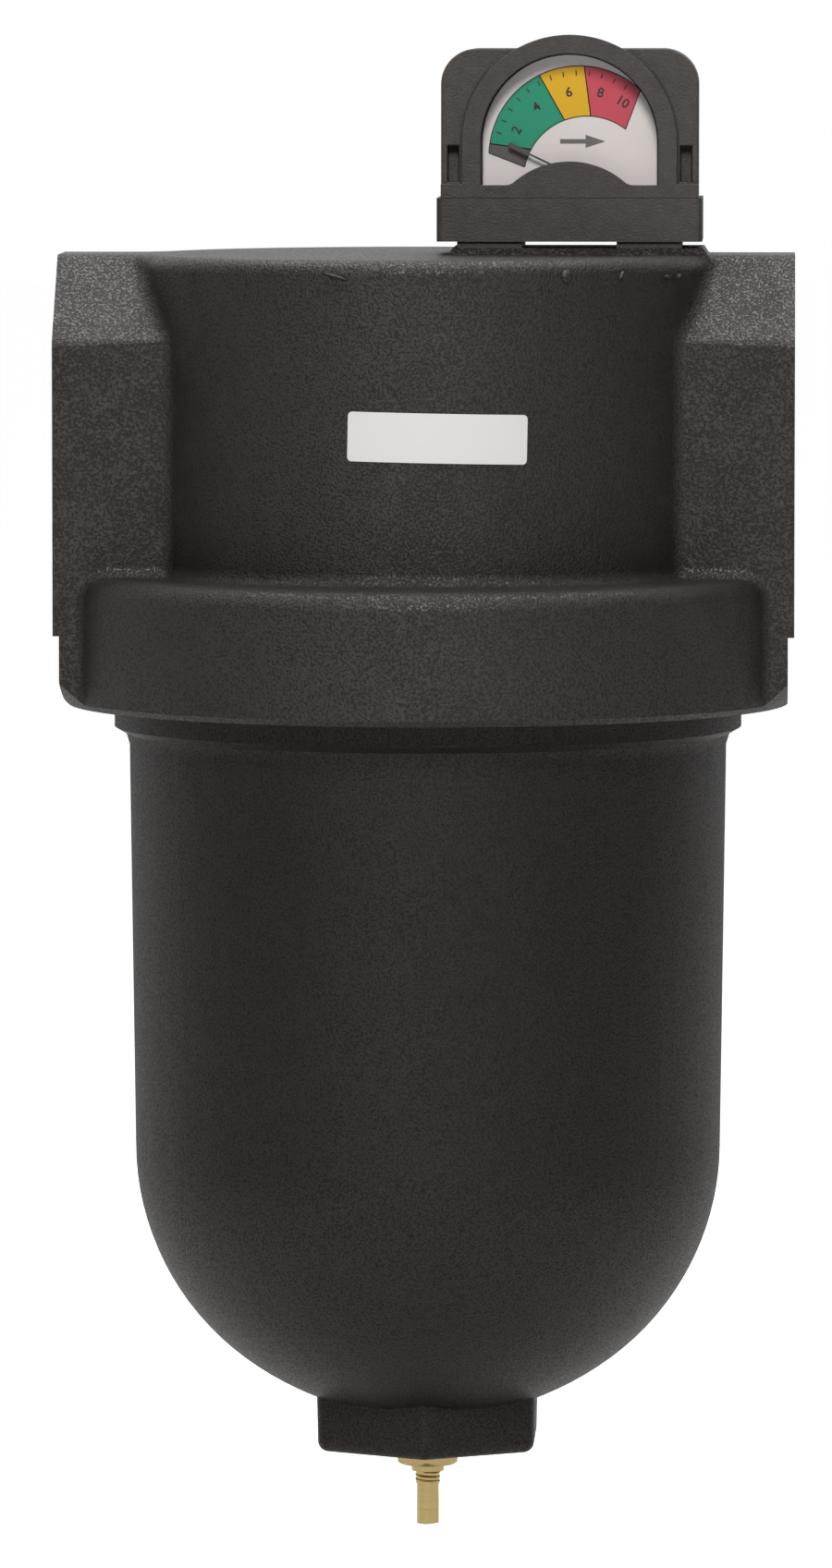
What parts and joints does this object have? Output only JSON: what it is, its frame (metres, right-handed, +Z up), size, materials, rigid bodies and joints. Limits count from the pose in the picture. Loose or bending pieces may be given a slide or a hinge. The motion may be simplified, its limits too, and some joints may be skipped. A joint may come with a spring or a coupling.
{
  "type": "compressed air filter",
  "caption": "Compressed air filter: a cast head between two pipe ports, a screw-on round-bottomed bowl with a drain, a pleated element and a dial gauge.",
  "frame": {"origin": "centre of the inlet port's face", "axes": "+X along the air flow from inlet to outlet, +Z up, -Y towards the dial's viewer"},
  "size_m": [0.165, 0.165, 0.3373],
  "materials": {
    "coated_casting": "cast aluminium under a black textured powder coat",
    "seal_rubber": "moulded nitrile rubber",
    "element_plastic": "moulded nylon",
    "element_foam": "open foam sleeve",
    "filter_paper": "pleated filter paper",
    "plated_steel": "zinc plated steel",
    "drain_brass": "turned brass",
    "gauge_plastic": "black moulded nylon, fine texture",
    "clear_plastic": "clear polycarbonate",
    "dial_white": "printed dial",
    "pointer_plastic": "black moulded pointer",
    "magnet": "sintered magnet",
    "piston_aluminium": "turned aluminium"
  },
  "bodies": {
    "head": {"head_casting": "coated_casting", "element_upper_gasket": "seal_rubber", "element_upper_cap": "element_plastic", "element_lower_cap": "element_plastic", "element_inner_cage": "element_plastic", "element_outer_cage": "element_plastic", "element_foam_sleeve": "element_foam", "element_pleats": "filter_paper", "element_lower_gasket": "seal_rubber", "tie_rod": "plated_steel", "washer": "plated_steel", "retaining_nut": "plated_steel", "gauge_base": "gauge_plastic", "gauge_inlet_o_ring": "seal_rubber", "gauge_outlet_o_ring": "seal_rubber", "gauge_screws": "plated_steel", "gauge_housing": "gauge_plastic", "gauge_window_frame": "gauge_plastic", "gauge_lens": "clear_plastic", "dial_plate": "dial_white", "piston_spring": "plated_steel", "gauge_end_plug": "gauge_plastic", "gauge_plug_o_ring": "seal_rubber"},
    "bowl_seal": {"bowl_o_ring": "seal_rubber"},
    "bowl": {"bowl": "coated_casting", "drain_body": "drain_brass"},
    "drain_seal": {"drain_stem_o_ring": "seal_rubber"},
    "drain_stem": {"drain_stem": "drain_brass"},
    "piston": {"piston": "piston_aluminium", "piston_magnet": "magnet"},
    "pointer": {"pointer": "pointer_plastic", "pointer_axle": "plated_steel", "pointer_magnet": "magnet"}
  },
  "joints": [
    {"name": "bowl_drop", "type": "slide", "parent": "head", "child": "bowl_seal", "axis": [0, 0, -1], "range_m": [0, 0.0106]},
    {"name": "bowl_turn", "type": "hinge", "parent": "bowl_seal", "child": "bowl", "pos_m": [0.0825, 0, -0.1], "axis": [0, 0, -1], "range_deg": [0, 1800]},
    {"name": "drain_drop", "type": "slide", "parent": "bowl", "child": "drain_seal", "axis": [0, 0, -1], "range_m": [0, 0.002]},
    {"name": "drain_turn", "type": "hinge", "parent": "drain_seal", "child": "drain_stem", "pos_m": [0.0825, 0, -0.24], "axis": [0, 0, -1], "range_deg": [0, 720.1]},
    {"name": "piston_slide", "type": "slide", "parent": "head", "child": "piston", "axis": [1, 0, 0], "range_m": [0, 0.006], "stiffness_N_per_m": 420, "springref_m": -0.001, "deforming": ["piston_spring"]},
    {"name": "pointer_sweep", "type": "hinge", "parent": "head", "child": "pointer", "pos_m": [0.1212, 0, 0.0475], "axis": [0, 1, 0], "range_deg": [0, 86.6]}
  ],
  "couplings": [
    {"joint": "bowl_drop", "follows": "bowl_turn", "m_per_rad": 0.00033688},
    {"joint": "drain_turn", "follows": "drain_drop", "rad_per_m": 6283.2},
    {"joint": "pointer_sweep", "follows": "piston_slide", "rad_per_m": 251.62}
  ]
}
